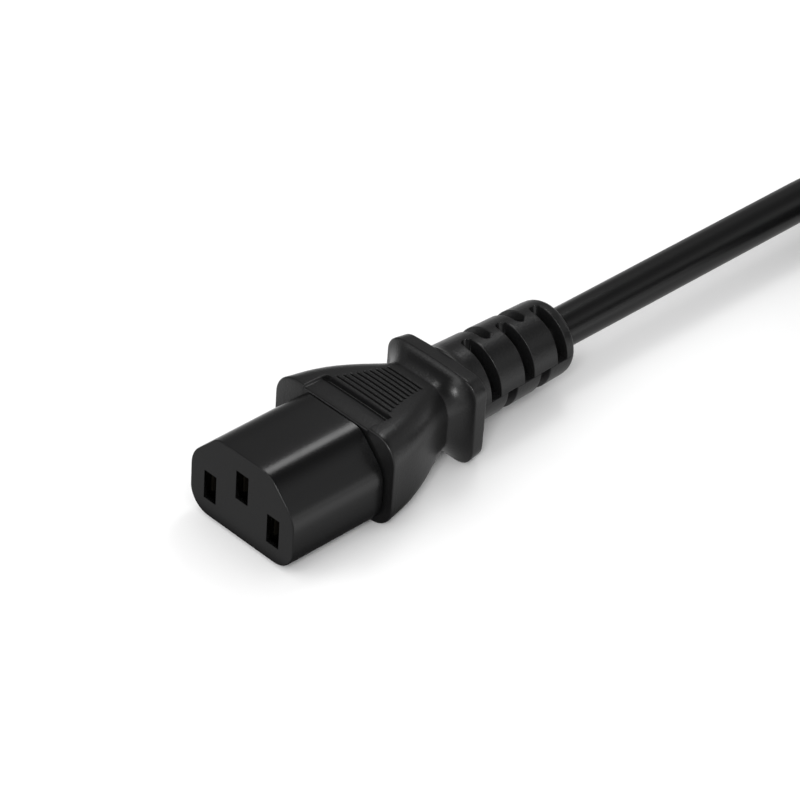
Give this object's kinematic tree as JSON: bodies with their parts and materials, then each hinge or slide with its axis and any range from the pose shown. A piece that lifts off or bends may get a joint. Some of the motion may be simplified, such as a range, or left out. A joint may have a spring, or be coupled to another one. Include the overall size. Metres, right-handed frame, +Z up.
{
  "type": "power cord",
  "caption": "Mains power cord with a moulded slotted connector at one end, a shrouded pin plug at the other, and its spare length folded into a tied hank.",
  "frame": {"origin": "on the surface that the connector lies on, under the middle of its box, without the cord and what is on it", "axes": "+Y from the mating face towards the cord, +X across towards the line slot, +Z up towards the earth slot"},
  "size_m": [0.0749, 0.2657, 0.0351],
  "materials": {
    "grip_plastic": "fine spark-eroded texture, soft satin",
    "carrier_plastic": "smooth semi-gloss",
    "cord_jacket": "smooth satin",
    "contact_brass": "rolled strip",
    "pin_plated": "plated, brushed along the pin",
    "copper_strands": "twisted strands",
    "core_brown": "satin",
    "core_blue": "satin",
    "core_green": "satin",
    "tie_strap": "woven hook-and-loop"
  },
  "bodies": {
    "root": {"contact_carrier": "carrier_plastic", "connector_overmould": "grip_plastic", "neutral_contact": "contact_brass", "neutral_lead": "core_blue", "neutral_strands": "copper_strands", "earth_contact": "contact_brass", "earth_lead": "core_green", "earth_strands": "copper_strands", "line_contact": "contact_brass", "line_lead": "core_brown", "line_strands": "copper_strands", "plug_insert": "carrier_plastic", "plug_overmould": "grip_plastic", "plug_neutral_pin": "pin_plated", "plug_neutral_lead": "core_blue", "plug_neutral_strands": "copper_strands", "plug_earth_pin": "pin_plated", "plug_earth_lead": "core_green", "plug_earth_strands": "copper_strands", "plug_line_pin": "pin_plated", "plug_line_lead": "core_brown", "plug_line_strands": "copper_strands", "cord": "cord_jacket", "cord_coil": "cord_jacket", "cord_tail": "cord_jacket", "coil_tie": "tie_strap"}
  },
  "joints": []
}
